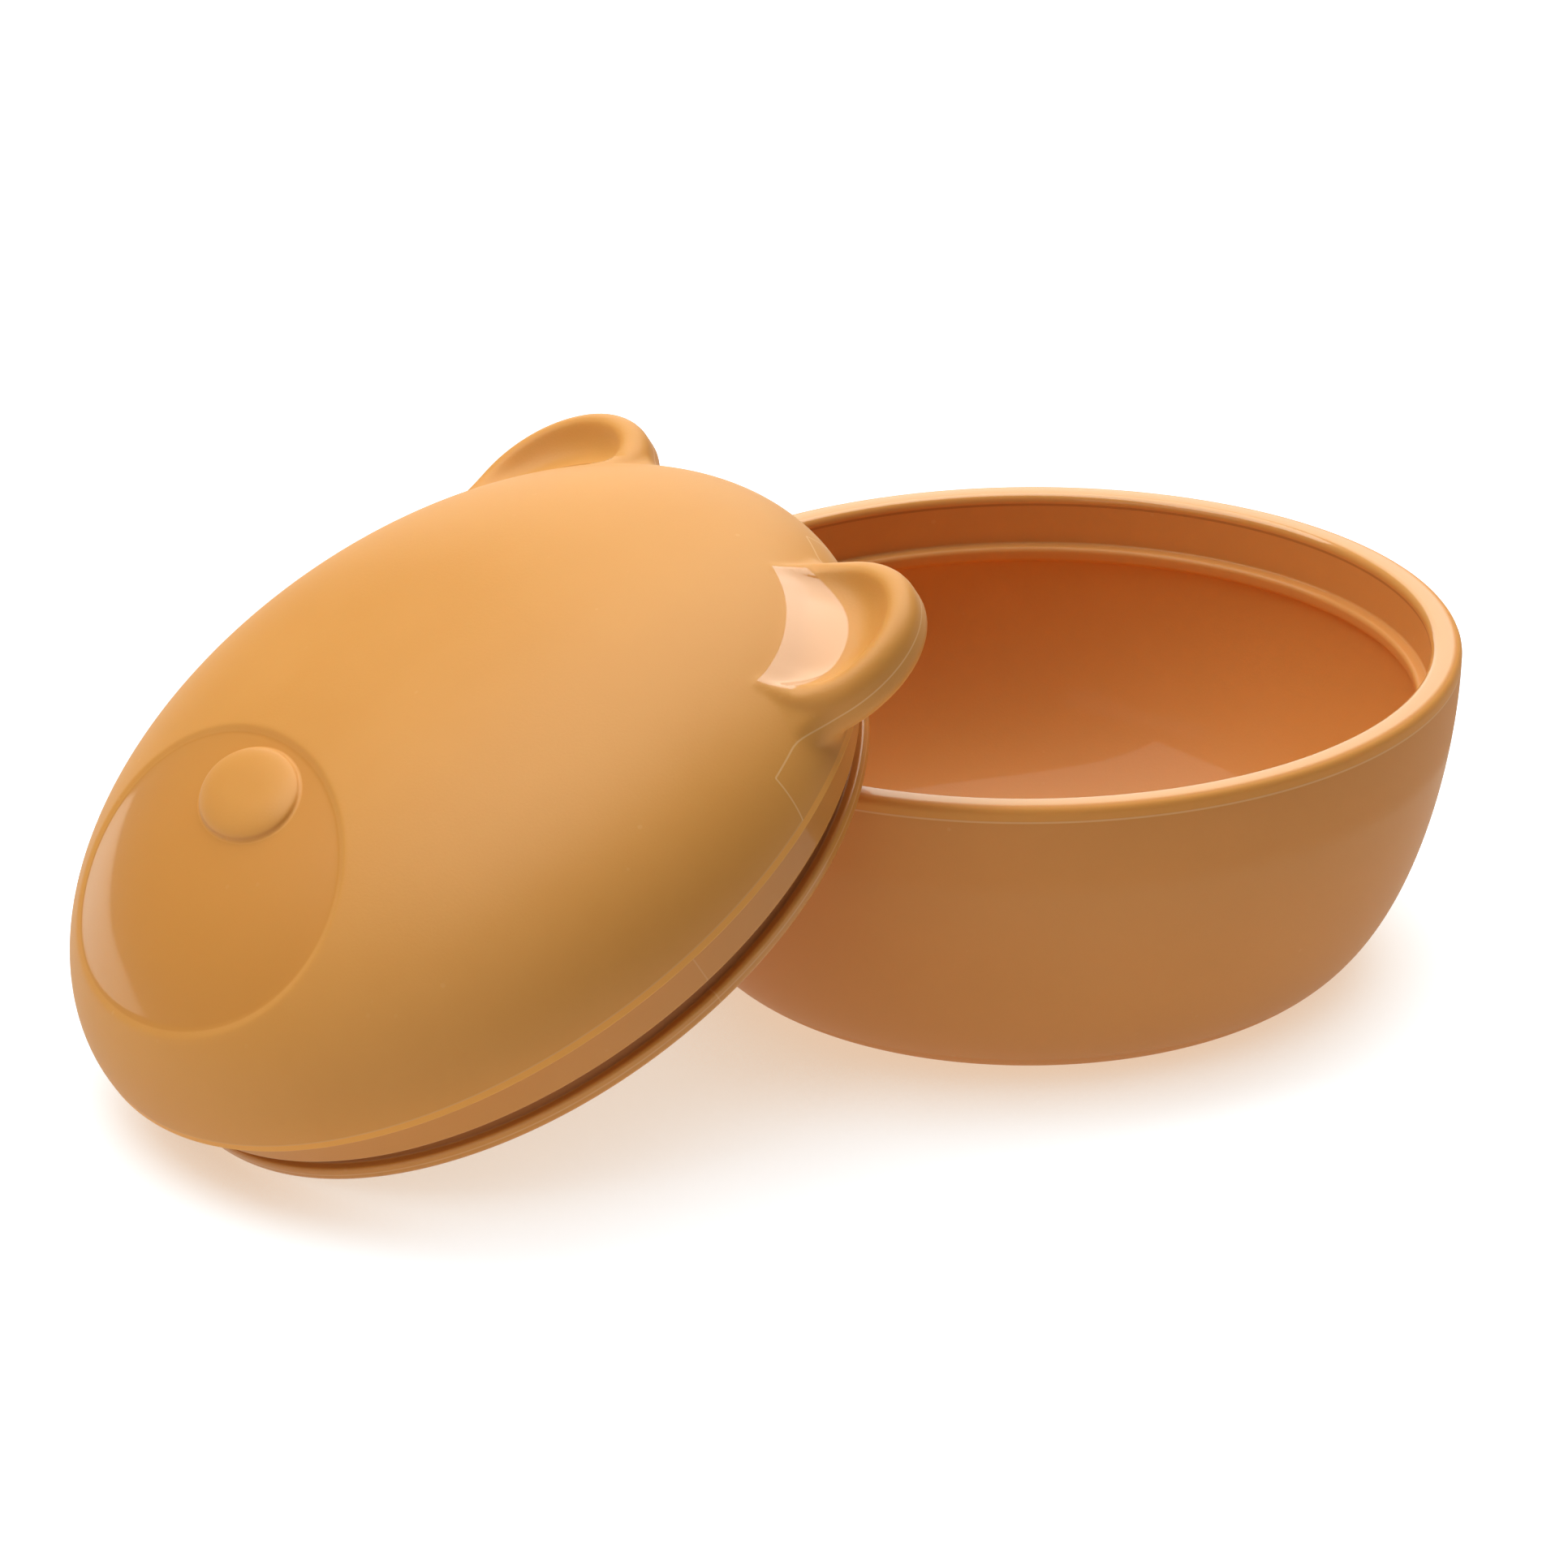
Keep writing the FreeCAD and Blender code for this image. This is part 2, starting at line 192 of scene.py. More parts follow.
outer_wall = sweep(
    (BASE_RADIUS, 0),
    (BASE_RADIUS + HEEL_HANDLE, 0),
    (RIM_RADIUS, WALL_HANDLE),
    (RIM_RADIUS, BOWL_HEIGHT),
    count=60,
)
inner_wall = sweep(
    (SEAT_RADIUS, SEAT_FOOT),
    (SEAT_RADIUS, SEAT_FOOT - SEAT_HANDLE),
    (FLOOR_RADIUS + FLOOR_HANDLE, FLOOR_HEIGHT),
    (FLOOR_RADIUS, FLOOR_HEIGHT),
    count=36,
)
rim = rounded(
    [
        (RIM_RADIUS, RIM_START),
        (RIM_RADIUS, BOWL_HEIGHT, RIM_ROUND),
        (LIP_RADIUS, BOWL_HEIGHT, RIM_ROUND),
        (LIP_RADIUS, RIDGE_TOP, 0.35),
        (RIDGE_RADIUS, RIDGE_TOP, 0.7),
        (RIDGE_RADIUS, RIDGE_FOOT, 0.7),
        (SEAT_RADIUS, RIDGE_FOOT, 0.3),
        (SEAT_RADIUS, SEAT_FOOT),
    ]
)
base = [(0, 0), (BASE_RING, 0)]
wall_below_rim = [point for point in outer_wall if point[1] < WALL_END]
inner_floor = [(FLOOR_RING, FLOOR_HEIGHT), (0, FLOOR_HEIGHT)]
bowl_outline = base + wall_below_rim + rim[1:-1] + inner_wall + inner_floor
bowl = lathe("bowl_moulding", bowl_outline, BOWL_STEPS)
bpy.ops.object.shade_smooth()
print("bowl", len(bowl_outline), "rings,", len(bowl.data.polygons), "faces")

# %% [markdown]
# The lid's dome and its two dished ears are lathe forms too. The dome's outline goes a little
# below the parting line, so that the skin can be trimmed there later. The ear's outline runs
# along its underside, round the heel and the crest, and down the slope into the dish.

# %% Dome and ear outlines, heights above the parting line
DOME_HEIGHT = 25.4
DOME_CROWN = 47.5
DOME_SHOULDER = 9.3
DOME_FOOT = -4.0
EAR_ANGLE = math.radians(39.8)
EAR_OFFSET = 55.4
EAR_RADIUS = 15.0
EAR_UNDERSIDE = 1.3
EAR_HEEL_ROUND = 2.6
EAR_CREST = 8.3
EAR_RIM_ROLL = 2.7
EAR_FLOOR = 5.7
EAR_FLAT = 6.0
SLOPE_TOP = 11.2
SLOPE_FOOT = 10.1
EAR_X = EAR_OFFSET * math.sin(EAR_ANGLE)
EAR_Y = EAR_OFFSET * math.cos(EAR_ANGLE)
CREST_RADIUS = EAR_RADIUS - EAR_RIM_ROLL


def dome_sweep(count):
    """Points along the dome from its top to the parting line."""
    crown, shoulder = (DOME_CROWN, DOME_HEIGHT), (RIM_RADIUS, DOME_SHOULDER)
    return sweep((0, DOME_HEIGHT), crown, shoulder, (RIM_RADIUS, 0), count)


dome_outline = dome_sweep(count=120) + [(RIM_RADIUS, DOME_FOOT), (0, DOME_FOOT)]
ear_heel = corner(
    (0, EAR_UNDERSIDE), (EAR_RADIUS, EAR_UNDERSIDE), (EAR_RADIUS, EAR_CREST), EAR_HEEL_ROUND, count=12
)
ear_crest = corner((EAR_RADIUS, 0), (EAR_RADIUS, EAR_CREST), (0, EAR_CREST), EAR_RIM_ROLL, count=14)
ear_slope = sweep(
    (CREST_RADIUS, EAR_CREST),
    (SLOPE_TOP, EAR_CREST),
    (SLOPE_FOOT, EAR_FLOOR),
    (EAR_FLAT, EAR_FLOOR),
    count=24,
)
ear_outline = [(0, EAR_UNDERSIDE)] + ear_heel + ear_crest + ear_slope[1:] + [(0, EAR_FLOOR)]
print("dome", len(dome_outline), "points, ear", len(ear_outline), "points")

# %% [markdown]
# Where an ear meets the dome the skin rolls from one into the other with no edge. Blender's bevel
# can't round the crease between two crossing meshes, so the three solids are joined and welded
# into one even skin by a voxel remesh. The weld is only roughly in place; the next step mends it.

# %% Join dome and ears and weld them into one skin
WELD_VOXEL = 0.62
WELD_SMOOTH = 0.5
WELD_ROUNDS = 6
LID_STEPS = 256
EAR_STEPS = 128


def apply_modifier(piece, kind, **settings):
    """Add a modifier, set it and apply it."""
    bpy.context.view_layer.objects.active = piece
    bpy.ops.object.modifier_add(type=kind)
    modifier = piece.modifiers[-1]
    for name, value in settings.items():
        setattr(modifier, name, value)
    bpy.ops.object.modifier_apply(modifier=modifier.name)


def join(pieces):
    """Join pieces into the first one."""
    bpy.ops.object.select_all(action="DESELECT")
    for piece in pieces:
        piece.select_set(True)
    bpy.context.view_layer.objects.active = pieces[0]
    bpy.ops.object.join()
    return pieces[0]


lid = lathe("lid_moulding", dome_outline, LID_STEPS)
ears = []
for side in (1, -1):
    ear = lathe("ear", ear_outline, EAR_STEPS)
    bpy.ops.transform.translate(value=(side * EAR_X * MM, EAR_Y * MM, 0))
    bpy.ops.object.transform_apply(location=True)
    ears.append(ear)
lid = join([lid] + ears)
apply_modifier(lid, "REMESH", mode="VOXEL", voxel_size=WELD_VOXEL * MM, adaptivity=0.0)
apply_modifier(lid, "SMOOTH", factor=WELD_SMOOTH, iterations=WELD_ROUNDS)
print("welded skin", len(lid.data.polygons), "faces")

# %% [markdown]
# How far is a point from a lathe form? Only its radius and height matter, so it is a flat
# question: the nearest stretch of the outline, and whether the point is inside it. Points are
# taken in batches, because every point is held against every stretch at once.

# %% Distance to a lathe form
CHUNK = 4000
LEAST_SQUARE = 1e-12


def outline_distance(radius, height, outline):
    """Signed distance from (radius, height) pairs to a lathe outline, negative inside."""
    nodes = np.array(outline, float)
    start, along = nodes[:-1], np.diff(nodes, axis=0)
    length_squared = (along**2).sum(axis=1) + LEAST_SQUARE
    r, z = nodes[:, 0], nodes[:, 1]
    next_r, next_z = np.roll(r, -1), np.roll(z, -1)
    rise = np.where(next_z == z, 1, next_z - z)
    result = np.empty(len(radius))
    for low in range(0, len(radius), CHUNK):
        point = np.stack([radius[low : low + CHUNK], height[low : low + CHUNK]], axis=1)
        offset = point[:, None, :] - start
        share = np.clip((offset * along).sum(axis=2) / length_squared, 0, 1)
        gap = np.sqrt(((offset - share[:, :, None] * along) ** 2).sum(axis=2)).min(axis=1)
        passed = (z > point[:, 1:2]) != (next_z > point[:, 1:2])
        cross = r + (point[:, 1:2] - z) / rise * (next_r - r)
        inside = (passed & (point[:, 0:1] < cross)).sum(axis=1) % 2 == 1
        result[low : low + CHUNK] = np.where(inside, -gap, gap)
    return result


def ease(value, low, high):
    """0 below low, 1 above high and a soft step between."""
    share = np.clip((value - low) / (high - low), 0, 1)
    return share * share * (3 - 2 * share)


deep_inside = outline_distance(np.zeros(1), np.zeros(1), dome_outline)
print("the dome's middle lies", round(float(deep_inside[0]), 2), "mm from its skin")

# %% [markdown]
# On the real lid the dish and its rim sweep up into the dome like the bowl of a spoon, so the
# ear's upper side is first stretched upwards, more the nearer it lies to the arc where the dish
# ends on the dome. The ear's side and underside then join the dome with a round fillet. Written
# as one distance, sweep and fillet can't tear apart, as two separate repairs could.

# %% Distance to the dome with its ears blended in
ARC_CENTRE = 26.15
ARC_RADIUS = 27.8
SWEEP_RUN = 10.0
SWEEP_RISE = 5.5
SWEEP_RISE_RIM = 4.2
SWEEP_FOOT = 2.0
SWEEP_REACH = (8.0, CREST_RADIUS)
BLEND_SIDE = 3.4
BLEND_UNDER = 1.4
BLEND_TOP = 0.3
SIDE_HEIGHTS = (1.5, 4.5)
CREST_HEIGHTS = (6.0, 8.0)
DISH_REACH = (11.0, 13.5)
TOP_HEIGHTS = (3.5, 5.5)

slope_nodes = np.array(ear_slope[::-1])


def blended_distance(points):
    """Distance from points to the dome with both ears rolled into it."""
    x, y, h = np.abs(points[:, 0]), points[:, 1], points[:, 2]
    reach = np.hypot(x - EAR_X, y - EAR_Y)
    along = x * math.sin(EAR_ANGLE) + y * math.cos(EAR_ANGLE)
    across = x * math.cos(EAR_ANGLE) - y * math.sin(EAR_ANGLE)
    from_arc = np.clip(np.hypot(along - ARC_CENTRE, across) - ARC_RADIUS, 0, SWEEP_RUN)
    rise = SWEEP_RISE + (SWEEP_RISE_RIM - SWEEP_RISE) * ease(reach, *SWEEP_REACH)
    lift = rise * (1 - from_arc / SWEEP_RUN) ** 2
    top = np.interp(reach, slope_nodes[:, 0], slope_nodes[:, 1]) - SWEEP_FOOT
    lowered = np.where(h > SWEEP_FOOT, SWEEP_FOOT + (h - SWEEP_FOOT) * top / (top + lift), h)
    to_dome = outline_distance(np.hypot(x, y), h, dome_outline)
    to_ear = outline_distance(reach, lowered, ear_outline)
    side = BLEND_UNDER + (BLEND_SIDE - BLEND_UNDER) * ease(h, *SIDE_HEIGHTS)
    upper = np.maximum(ease(lowered, *CREST_HEIGHTS), 1 - ease(reach, *DISH_REACH))
    roll = side + (BLEND_TOP - side) * upper * ease(lowered, *TOP_HEIGHTS)
    fillet = np.hypot(np.maximum(roll - to_dome, 0), np.maximum(roll - to_ear, 0))
    return np.maximum(roll, np.minimum(to_dome, to_ear)) - fillet


print("fillets of", BLEND_SIDE, BLEND_UNDER, "and", BLEND_TOP, "mm at side, underside and top")

# %% [markdown]
# Now the welded skin is put exactly where it belongs. A Shrinkwrap modifier needs a target mesh,
# and there is none with the blend in it. So the plain dome is set by its known height, or by its
# radius where it is steep, and each vertex near an ear steps along the slope of the blended
# distance until that distance is zero.

# %% Pull the skin onto the blended form
EAR_ZONE = 27.0
STEEP_RADIUS = 50.0
ABOVE_FOOT = -3.0
PULL_ROUNDS = 5
SLOPE_STEP = 0.02
LEAST_SLOPE = 0.05
LEAST_RADIUS = 0.1


def read_points(piece):
    """A piece's vertices in millimetres."""
    points = np.empty(len(piece.data.vertices) * 3)
    piece.data.vertices.foreach_get("co", points)
    return points.reshape(-1, 3) / MM


def write_points(piece, points):
    """Put vertices, given in millimetres, back into a piece."""
    piece.data.vertices.foreach_set("co", (points * MM).ravel())
    piece.data.update()


dome_fine = np.array(dome_sweep(count=3000))


def dome_height(radius):
    """Height of the dome over a radius."""
    return np.interp(radius, dome_fine[:, 0], dome_fine[:, 1])


def dome_radius(height):
    """Radius of the dome at a height, and of the straight skirt below it."""
    return np.interp(height, dome_fine[::-1, 1], dome_fine[::-1, 0])


original = read_points(lid)
points = original.copy()
plan = np.hypot(points[:, 0], points[:, 1])
top = points[:, 2] > ABOVE_FOOT
flat = top & (plan <= STEEP_RADIUS)
steep = top & (plan > STEEP_RADIUS)
near = top & (np.hypot(np.abs(points[:, 0]) - EAR_X, points[:, 1] - EAR_Y) < EAR_ZONE)
points[flat, 2] = dome_height(plan[flat])
to_rim = np.where(steep, dome_radius(points[:, 2]) / np.maximum(plan, LEAST_RADIUS), 1.0)
points[:, :2] *= to_rim[:, None]
points[near] = original[near]
for _ in range(PULL_ROUNDS):
    here = points[near]
    value = blended_distance(here)
    slope = np.empty_like(here)
    for axis in range(3):
        aside = here.copy()
        aside[:, axis] += SLOPE_STEP
        slope[:, axis] = (blended_distance(aside) - value) / SLOPE_STEP
    steepness = np.maximum((slope**2).sum(axis=1), LEAST_SLOPE)
    points[near] = here - slope * (value / steepness)[:, None]
write_points(lid, points)
miss = float(np.abs(blended_distance(points[near])).max())
print("pulled", int(near.sum()), "vertices onto the ear blends, off by", round(miss, 4), "mm")

# %% [markdown]
# The face is finer than the weld: a muzzle pressed half a millimetre into the dome, with a soft
# edge, and a nose that stands up from it with a rounded edge. A displacement would blur edges as
# fine as these. Both are ovals, so a patch of nested rings follows them exactly: each ring is a
# place, two half-widths and a rise over the dome.

# %% Rings of the face
FACE_X = -1.6
MUZZLE_Y, MUZZLE_WIDE, MUZZLE_TALL = -33.2, 30.4, 19.8
NOSE_Y, NOSE_WIDE, NOSE_TALL = -21.9, 10.8, 6.75
MUZZLE_DEPTH = 0.5
NOSE_RISE = 1.0
FACE_STEPS = 320
PATCH_EDGE = 1.7
HOLE_EDGE = 2.5
BETWEEN = 8
NOSE_SHARES = (0.85, 0.65, 0.45, 0.25, 0.1)

muzzle_edge = [
    (PATCH_EDGE, 0), (1.2, 0), (0.85, -0.004), (0.6, -0.03), (0.4, -0.085), (0.2, -0.165), (0.0, -0.255),
    (-0.2, -0.345), (-0.4, -0.42), (-0.6, -0.468), (-0.75, -0.49), (-0.9, -MUZZLE_DEPTH),
]
nose_edge = [
    (0.5, -MUZZLE_DEPTH), (0.35, -MUZZLE_DEPTH), (0.2, -0.48), (0.05, -0.41), (-0.06, -0.28), (-0.13, -0.14),
]
nose_edge += sweep((-0.2, 0.0), (-0.7, 0.5), (-2.6, NOSE_RISE), (-5.2, NOSE_RISE), count=14)
rings = [(MUZZLE_Y, MUZZLE_WIDE + out, MUZZLE_TALL + out, rise) for out, rise in muzzle_edge]
nose_rings = [(NOSE_Y, NOSE_WIDE + out, NOSE_TALL + out, rise) for out, rise in nose_edge]
first_ring, last_ring = rings[-1], nose_rings[0]
for step in range(1, BETWEEN):
    rings.append(tuple(a + (b - a) * step / BETWEEN for a, b in zip(first_ring, last_ring)))
rings += nose_rings
inner = rings[-1]
for share in NOSE_SHARES:
    rings.append((NOSE_Y, inner[1] * share, inner[2] * share, NOSE_RISE))
print("face", len(rings), "rings")

# %% [markdown]
# The patch starts as a circle and grows inwards by extruding and resizing its edge, ring by ring.
# It is made flat, which keeps every ring a plain oval, and only then draped: each vertex goes up
# to the dome and then along the dome's own lean by the rise of its ring.

# %% Face patch
bpy.ops.object.select_all(action="DESELECT")
bpy.ops.mesh.primitive_circle_add(vertices=FACE_STEPS, radius=MM)
face = bpy.context.object
face.name = "face"
bpy.ops.object.mode_set(mode="EDIT")
bpy.ops.transform.resize(value=(rings[0][1], rings[0][2], 1))
bpy.ops.transform.translate(value=(FACE_X * MM, rings[0][0] * MM, 0))
for outer, following in zip(rings, rings[1:]):
    bpy.ops.mesh.extrude_region_move(
        TRANSFORM_OT_translate={"value": (0, (following[0] - outer[0]) * MM, 0)}
    )
    bpy.ops.transform.resize(
        value=(following[1] / outer[1], following[2] / outer[2], 1),
        center_override=(FACE_X * MM, following[0] * MM, 0),
    )
bpy.ops.mesh.edge_face_add()
bpy.ops.object.mode_set(mode="OBJECT")

points = read_points(face)
oval = np.hypot(points[:, 0], points[:, 1])
low, high = dome_height(oval - SLOPE_STEP), dome_height(oval + SLOPE_STEP)
fall = (high - low) / (2 * SLOPE_STEP)
lean_out = -fall / np.sqrt(1 + fall**2)
lean_up = 1 / np.sqrt(1 + fall**2)
rise = np.repeat([ring[3] for ring in rings], FACE_STEPS)
points[:, 2] = dome_height(oval) + rise * lean_up
points[:, :2] *= (1 + rise * lean_out / np.maximum(oval, LEAST_RADIUS))[:, None]
write_points(face, points)
print("face patch", len(face.data.polygons), "faces")

# %% [markdown]
# The next steps cut and sew the skin, and they pick vertices by where they lie. Picking by hand
# could not be repeated, so a few helpers select vertices, find open borders and delete.

# %% Cutting helpers


def select_points(piece, chosen):
    """Select just these vertices of a piece."""
    bpy.ops.object.select_all(action="DESELECT")
    piece.select_set(True)
    bpy.context.view_layer.objects.active = piece
    for part in (piece.data.polygons, piece.data.edges):
        part.foreach_set("select", np.zeros(len(part), bool))
    piece.data.vertices.foreach_set("select", chosen)


def border_points(piece):
    """Which vertices of a piece lie on an open border."""
    select_points(piece, np.zeros(len(piece.data.vertices), bool))
    bpy.ops.object.mode_set(mode="EDIT")
    bpy.ops.mesh.select_mode(type="VERT")
    bpy.ops.mesh.select_non_manifold(
        extend=False, use_wire=False, use_boundary=True,
        use_multi_face=False, use_non_contiguous=False, use_verts=False,
    )
    bpy.ops.object.mode_set(mode="OBJECT")
    chosen = np.empty(len(piece.data.vertices), bool)
    piece.data.vertices.foreach_get("select", chosen)
    return chosen


def delete_points(piece, chosen):
    """Delete vertices of a piece with the faces that hold them."""
    select_points(piece, chosen)
    bpy.ops.object.mode_set(mode="EDIT")
    bpy.ops.mesh.select_mode(type="VERT")
    bpy.ops.mesh.delete(type="VERT")
    bpy.ops.mesh.select_all(action="SELECT")
    bpy.ops.mesh.delete_loose(use_verts=True, use_edges=True, use_faces=False)
    bpy.ops.object.mode_set(mode="OBJECT")


def edge_ends(piece):
    """The two vertices of every edge, and which edges are open."""
    data = piece.data
    ends = np.empty(len(data.edges) * 2, int)
    data.edges.foreach_get("vertices", ends)
    used = np.empty(len(data.loops), int)
    data.loops.foreach_get("edge_index", used)
    return ends.reshape(-1, 2), np.bincount(used, minlength=len(data.edges)) == 1


def pinched_points(piece):
    """Which vertices of a piece have more than two open edges."""
    ends, is_open = edge_ends(piece)
    return np.bincount(ends[is_open].ravel(), minlength=len(piece.data.vertices)) > 2


def muzzle_share(points, out):
    """Where points lie in plan: 1 on the muzzle's oval grown by a margin, less inside it."""
    x, y = points[:, 0] - FACE_X, points[:, 1] - MUZZLE_Y
    return np.hypot(x / (MUZZLE_WIDE + out), y / (MUZZLE_TALL + out))


print("open edges round the patch:", int(edge_ends(face)[1].sum()))

# %% [markdown]
# The welded skin now gets a hole for the patch and an open lower edge for the plug. Deleting
# vertices leaves a ragged border, in places pinched to a single vertex. The pinched vertices go
# too. Then the lower border is moved onto a clean circle and the hole's border onto a clean oval;
# smoothing in between lets the faces behind the oval settle, where one big move would fold them.

# %% Trim the skin
TRIM_HEIGHT = -0.6
ABOVE_SKIRT = 4.0
BORDER_SPLIT = 3.0
SETTLE_MARGIN = 2.5
SETTLE_ROUNDS = 5
SETTLE_SMOOTH = 0.5
SETTLE_REPEAT = 2

points = read_points(lid)
in_hole = (muzzle_share(points, HOLE_EDGE) < 1) & (points[:, 2] > ABOVE_SKIRT)
delete_points(lid, (points[:, 2] < TRIM_HEIGHT) | in_hole)
pinched = pinched_points(lid)
while pinched.any():
    print("deleting", int(pinched.sum()), "pinched vertices")
    delete_points(lid, pinched)
    pinched = pinched_points(lid)
points = read_points(lid)
border = border_points(lid)
foot = border & (points[:, 2] < BORDER_SPLIT)
hole = border & (points[:, 2] > BORDER_SPLIT)
points[foot, 2] = TRIM_HEIGHT
points[foot, :2] *= (RIM_RADIUS / np.hypot(points[foot, 0], points[foot, 1]))[:, None]
write_points(lid, points)
middle = np.array([FACE_X, MUZZLE_Y])
band = (muzzle_share(points, HOLE_EDGE + SETTLE_MARGIN) < 1) & (points[:, 2] > ABOVE_SKIRT)
for _ in range(SETTLE_ROUNDS):
    select_points(lid, band)
    bpy.ops.object.mode_set(mode="EDIT")
    bpy.ops.mesh.vertices_smooth(factor=SETTLE_SMOOTH, repeat=SETTLE_REPEAT)
    bpy.ops.object.mode_set(mode="OBJECT")
    points = read_points(lid)
    share = muzzle_share(points[hole], HOLE_EDGE)[:, None]
    points[hole, :2] = middle + (points[hole, :2] - middle) / share
    points[band, 2] = dome_height(np.hypot(points[band, 0], points[band, 1]))
    write_points(lid, points)
print("border vertices: foot", int(foot.sum()), "hole", int(hole.sum()))

# %% [markdown]
# Under the dome is the plug: a thin skirt edge that lands on the bowl's rim, a neck, the groove
# that the bowl's ridge sits in, and the bead. Inside, the lid is hollow. The plug could be cut
# from a solid; one more lathe outline is simpler, from the skirt's upper edge round the bead to
# the middle of the hollow.

# %% Plug and hollow
NECK_RADIUS = 54.5
GROOVE_RADIUS = 52.2
BEAD_RADIUS = 53.5
HOLLOW_RADIUS = 50.2
HOLLOW_HEIGHT = 22.4
HOLLOW_CROWN = 40.0
HOLLOW_SHOULDER = 9.0
HOLLOW_WALL = -6.0
SKIRT_TOP = -0.9
SKIRT_FOOT = -1.2
GROOVE_TOP = -8.4
BEAD_TOP = -11.0
PLUG_FOOT = -13.2

plug_outline = rounded(
    [
        (RIM_RADIUS, SKIRT_TOP),
        (RIM_RADIUS, SKIRT_FOOT, 0.25),
        (NECK_RADIUS, SKIRT_FOOT, 0.3),
        (NECK_RADIUS, GROOVE_TOP, 0.4),
        (GROOVE_RADIUS, GROOVE_TOP, 0.3),
        (GROOVE_RADIUS, BEAD_TOP, 0.3),
        (BEAD_RADIUS, BEAD_TOP, 0.5),
        (BEAD_RADIUS, PLUG_FOOT, 0.8),
        (HOLLOW_RADIUS, PLUG_FOOT, 0.5),
        (HOLLOW_RADIUS, HOLLOW_WALL),
    ]
)
plug_outline += sweep(
    (HOLLOW_RADIUS, 0),
    (HOLLOW_RADIUS, HOLLOW_SHOULDER),
    (HOLLOW_CROWN, HOLLOW_HEIGHT),
    (0, HOLLOW_HEIGHT),
    count=26,
)
plug = lathe("plug", plug_outline, LID_STEPS)
lid = join([lid, face, plug])
print("plug", len(plug_outline), "rings")

# %% [markdown]
# Skin, patch and plug are one object now, with two gaps a fraction of a millimetre wide: between
# the skin's foot and the skirt, and between the hole and the patch. A boolean would cut new
# slivers here. Bridge Edge Loops fills each gap with one row of faces, although the two borders
# have different numbers of vertices.

# %% Close the skin
CLOSE_WELD = 0.01


def bridge(piece, first, second):
    """Bridge two open borders, each given as the vertices it holds."""
    select_points(piece, np.zeros(len(first), bool))
    ends, is_open = edge_ends(piece)
    along = is_open & (first[ends].all(axis=1) | second[ends].all(axis=1))
    bpy.ops.object.mode_set(mode="EDIT")
    bpy.ops.mesh.select_mode(type="EDGE")
    bpy.ops.mesh.select_all(action="DESELECT")
    bpy.ops.object.mode_set(mode="OBJECT")
    piece.data.edges.foreach_set("select", along)
    bpy.ops.object.mode_set(mode="EDIT")
    bpy.ops.mesh.bridge_edge_loops()
    bpy.ops.object.mode_set(mode="OBJECT")


def open_borders(piece):
    """Vertices on the open borders at the foot, the skirt, the hole and the patch."""
    border = border_points(piece)
    points = read_points(piece)
    outside_patch = muzzle_share(points, (PATCH_EDGE + HOLE_EDGE) / 2) > 1
    low = points[:, 2] < BORDER_SPLIT
    above_gap = points[:, 2] > (TRIM_HEIGHT + SKIRT_TOP) / 2
    return (
        border & low & above_gap,
        border & low & ~above_gap,
        border & ~low & outside_patch,
        border & ~low & ~outside_patch,
    )


foot, skirt, _, _ = open_borders(lid)
bridge(lid, foot, skirt)
_, _, hole, patch = open_borders(lid)
bridge(lid, hole, patch)
bpy.ops.object.mode_set(mode="EDIT")
bpy.ops.mesh.select_all(action="SELECT")
bpy.ops.mesh.remove_doubles(threshold=CLOSE_WELD * MM)
bpy.ops.mesh.normals_make_consistent(inside=False)
bpy.ops.object.mode_set(mode="OBJECT")
bpy.ops.object.shade_smooth()
print("lid", len(lid.data.polygons), "faces, open edges left", int(border_points(lid).sum()))

# %% [markdown]
# The lid was modelled upright over the origin, which keeps every outline simple. Now it leans:
# turned a little about its own axis, tilted back, and moved so that its bead is on the table.
# Each moulding then rides on its body, and the imported solid that it stands for is hidden.

# %% Lean the lid on the rim
LEAN = math.radians(31.1)
FACE_TURN = math.radians(2.5)
LID_PLACE = Vector((0, -85.327, 38.639)) * MM
lid_turn = Matrix.Rotation(LEAN, 4, "X") @ Matrix.Rotation(FACE_TURN, 4, "Z")
lid_frame = Matrix.Translation(LID_PLACE) @ lid_turn
lid.matrix_world = lid_frame
bpy.ops.object.select_all(action="DESELECT")
lid.select_set(True)
bpy.context.view_layer.objects.active = lid
bpy.ops.object.transform_apply(location=True, rotation=True, scale=True)
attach(bowl, "bowl")
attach(lid, "lid")
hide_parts("bowl")
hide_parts("lid")

# %% [markdown]
# A finish is a network of nodes, and most of it is arithmetic: where is the muzzle, how far is
# the parting line. Painted textures would need unwrapped skins and would blur the fine lines.
# One small class lets the arithmetic be written as sums: a wrapped socket answers to plus, minus,
# times and divide by adding a Math node, and its node method adds anything else.

# %% Shader arithmetic
COLOUR_A, COLOUR_B, COLOUR_OUT = 6, 7, 2


